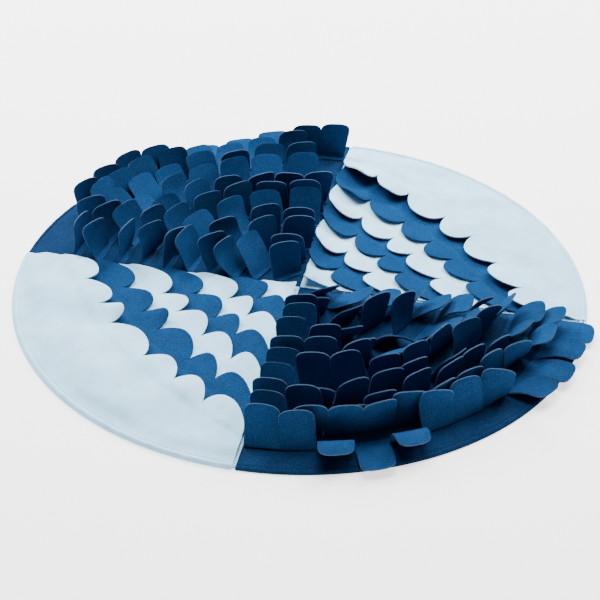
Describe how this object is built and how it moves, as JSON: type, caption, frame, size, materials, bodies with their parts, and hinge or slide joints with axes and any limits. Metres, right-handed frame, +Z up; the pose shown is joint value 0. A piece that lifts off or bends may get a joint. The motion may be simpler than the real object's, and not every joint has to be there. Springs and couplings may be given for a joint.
{
  "type": "snuffle_mat",
  "caption": "Round felt foraging mat for a pet: scalloped overlapping scales and arcs of standing flaps in light and blue quarters on a hemmed base.",
  "frame": {"origin": "middle of the underside, on the surface that the mat lies on", "axes": "+Z up, out of the mat's top; the seams between the quarters run along X and Y; flaps stand front right (+X -Y) and back left (-X +Y)"},
  "size_m": [0.8131, 0.8004, 0.0612],
  "materials": {
    "backing": "matt needle felt",
    "base_back_left": "matt needle felt",
    "base_back_right": "matt needle felt",
    "base_front_left": "matt needle felt",
    "base_front_right": "matt needle felt",
    "flaps_back_left_10": "matt needle felt",
    "flaps_back_left_11": "matt needle felt",
    "flaps_back_left_1a": "matt needle felt",
    "flaps_back_left_1b": "matt needle felt",
    "flaps_back_left_1c": "matt needle felt",
    "flaps_back_left_2a": "matt needle felt",
    "flaps_back_left_2b": "matt needle felt",
    "flaps_back_left_2c": "matt needle felt",
    "flaps_back_left_3a": "matt needle felt",
    "flaps_back_left_3b": "matt needle felt",
    "flaps_back_left_4a": "matt needle felt",
    "flaps_back_left_4b": "matt needle felt",
    "flaps_back_left_5a": "matt needle felt",
    "flaps_back_left_5b": "matt needle felt",
    "flaps_back_left_6": "matt needle felt",
    "flaps_back_left_7": "matt needle felt",
    "flaps_back_left_8": "matt needle felt",
    "flaps_back_left_9": "matt needle felt",
    "flaps_front_right_10": "matt needle felt",
    "flaps_front_right_11": "matt needle felt",
    "flaps_front_right_1a": "matt needle felt",
    "flaps_front_right_1b": "matt needle felt",
    "flaps_front_right_1c": "matt needle felt",
    "flaps_front_right_1d": "matt needle felt",
    "flaps_front_right_2a": "matt needle felt",
    "flaps_front_right_2b": "matt needle felt",
    "flaps_front_right_2c": "matt needle felt",
    "flaps_front_right_3a": "matt needle felt",
    "flaps_front_right_3b": "matt needle felt",
    "flaps_front_right_3c": "matt needle felt",
    "flaps_front_right_4a": "matt needle felt",
    "flaps_front_right_4b": "matt needle felt",
    "flaps_front_right_5a": "matt needle felt",
    "flaps_front_right_5b": "matt needle felt",
    "flaps_front_right_6a": "matt needle felt",
    "flaps_front_right_6b": "matt needle felt",
    "flaps_front_right_7": "matt needle felt",
    "flaps_front_right_8a": "matt needle felt",
    "flaps_front_right_8b": "matt needle felt",
    "flaps_front_right_9": "matt needle felt",
    "scales_back_right_panel": "matt needle felt",
    "scales_back_right_row_1": "matt needle felt",
    "scales_back_right_row_2": "matt needle felt",
    "scales_back_right_row_3": "matt needle felt",
    "scales_back_right_row_4": "matt needle felt",
    "scales_back_right_row_5": "matt needle felt",
    "scales_back_right_row_6": "matt needle felt",
    "scales_front_left_panel": "matt needle felt",
    "scales_front_left_row_1": "matt needle felt",
    "scales_front_left_row_2": "matt needle felt",
    "scales_front_left_row_3": "matt needle felt",
    "scales_front_left_row_4": "matt needle felt",
    "scales_front_left_row_5": "matt needle felt",
    "scales_front_left_row_6": "matt needle felt"
  },
  "bodies": {
    "root": {"backing": "backing", "base_back_left": "base_back_left", "base_back_right": "base_back_right", "base_front_left": "base_front_left", "base_front_right": "base_front_right", "flaps_back_left_10": "flaps_back_left_10", "flaps_back_left_11": "flaps_back_left_11", "flaps_back_left_1a": "flaps_back_left_1a", "flaps_back_left_1b": "flaps_back_left_1b", "flaps_back_left_1c": "flaps_back_left_1c", "flaps_back_left_2a": "flaps_back_left_2a", "flaps_back_left_2b": "flaps_back_left_2b", "flaps_back_left_2c": "flaps_back_left_2c", "flaps_back_left_3a": "flaps_back_left_3a", "flaps_back_left_3b": "flaps_back_left_3b", "flaps_back_left_4a": "flaps_back_left_4a", "flaps_back_left_4b": "flaps_back_left_4b", "flaps_back_left_5a": "flaps_back_left_5a", "flaps_back_left_5b": "flaps_back_left_5b", "flaps_back_left_6": "flaps_back_left_6", "flaps_back_left_7": "flaps_back_left_7", "flaps_back_left_8": "flaps_back_left_8", "flaps_back_left_9": "flaps_back_left_9", "flaps_front_right_10": "flaps_front_right_10", "flaps_front_right_11": "flaps_front_right_11", "flaps_front_right_1a": "flaps_front_right_1a", "flaps_front_right_1b": "flaps_front_right_1b", "flaps_front_right_1c": "flaps_front_right_1c", "flaps_front_right_1d": "flaps_front_right_1d", "flaps_front_right_2a": "flaps_front_right_2a", "flaps_front_right_2b": "flaps_front_right_2b", "flaps_front_right_2c": "flaps_front_right_2c", "flaps_front_right_3a": "flaps_front_right_3a", "flaps_front_right_3b": "flaps_front_right_3b", "flaps_front_right_3c": "flaps_front_right_3c", "flaps_front_right_4a": "flaps_front_right_4a", "flaps_front_right_4b": "flaps_front_right_4b", "flaps_front_right_5a": "flaps_front_right_5a", "flaps_front_right_5b": "flaps_front_right_5b", "flaps_front_right_6a": "flaps_front_right_6a", "flaps_front_right_6b": "flaps_front_right_6b", "flaps_front_right_7": "flaps_front_right_7", "flaps_front_right_8a": "flaps_front_right_8a", "flaps_front_right_8b": "flaps_front_right_8b", "flaps_front_right_9": "flaps_front_right_9", "scales_back_right_panel": "scales_back_right_panel", "scales_back_right_row_1": "scales_back_right_row_1", "scales_back_right_row_2": "scales_back_right_row_2", "scales_back_right_row_3": "scales_back_right_row_3", "scales_back_right_row_4": "scales_back_right_row_4", "scales_back_right_row_5": "scales_back_right_row_5", "scales_back_right_row_6": "scales_back_right_row_6", "scales_front_left_panel": "scales_front_left_panel", "scales_front_left_row_1": "scales_front_left_row_1", "scales_front_left_row_2": "scales_front_left_row_2", "scales_front_left_row_3": "scales_front_left_row_3", "scales_front_left_row_4": "scales_front_left_row_4", "scales_front_left_row_5": "scales_front_left_row_5", "scales_front_left_row_6": "scales_front_left_row_6"}
  },
  "joints": []
}
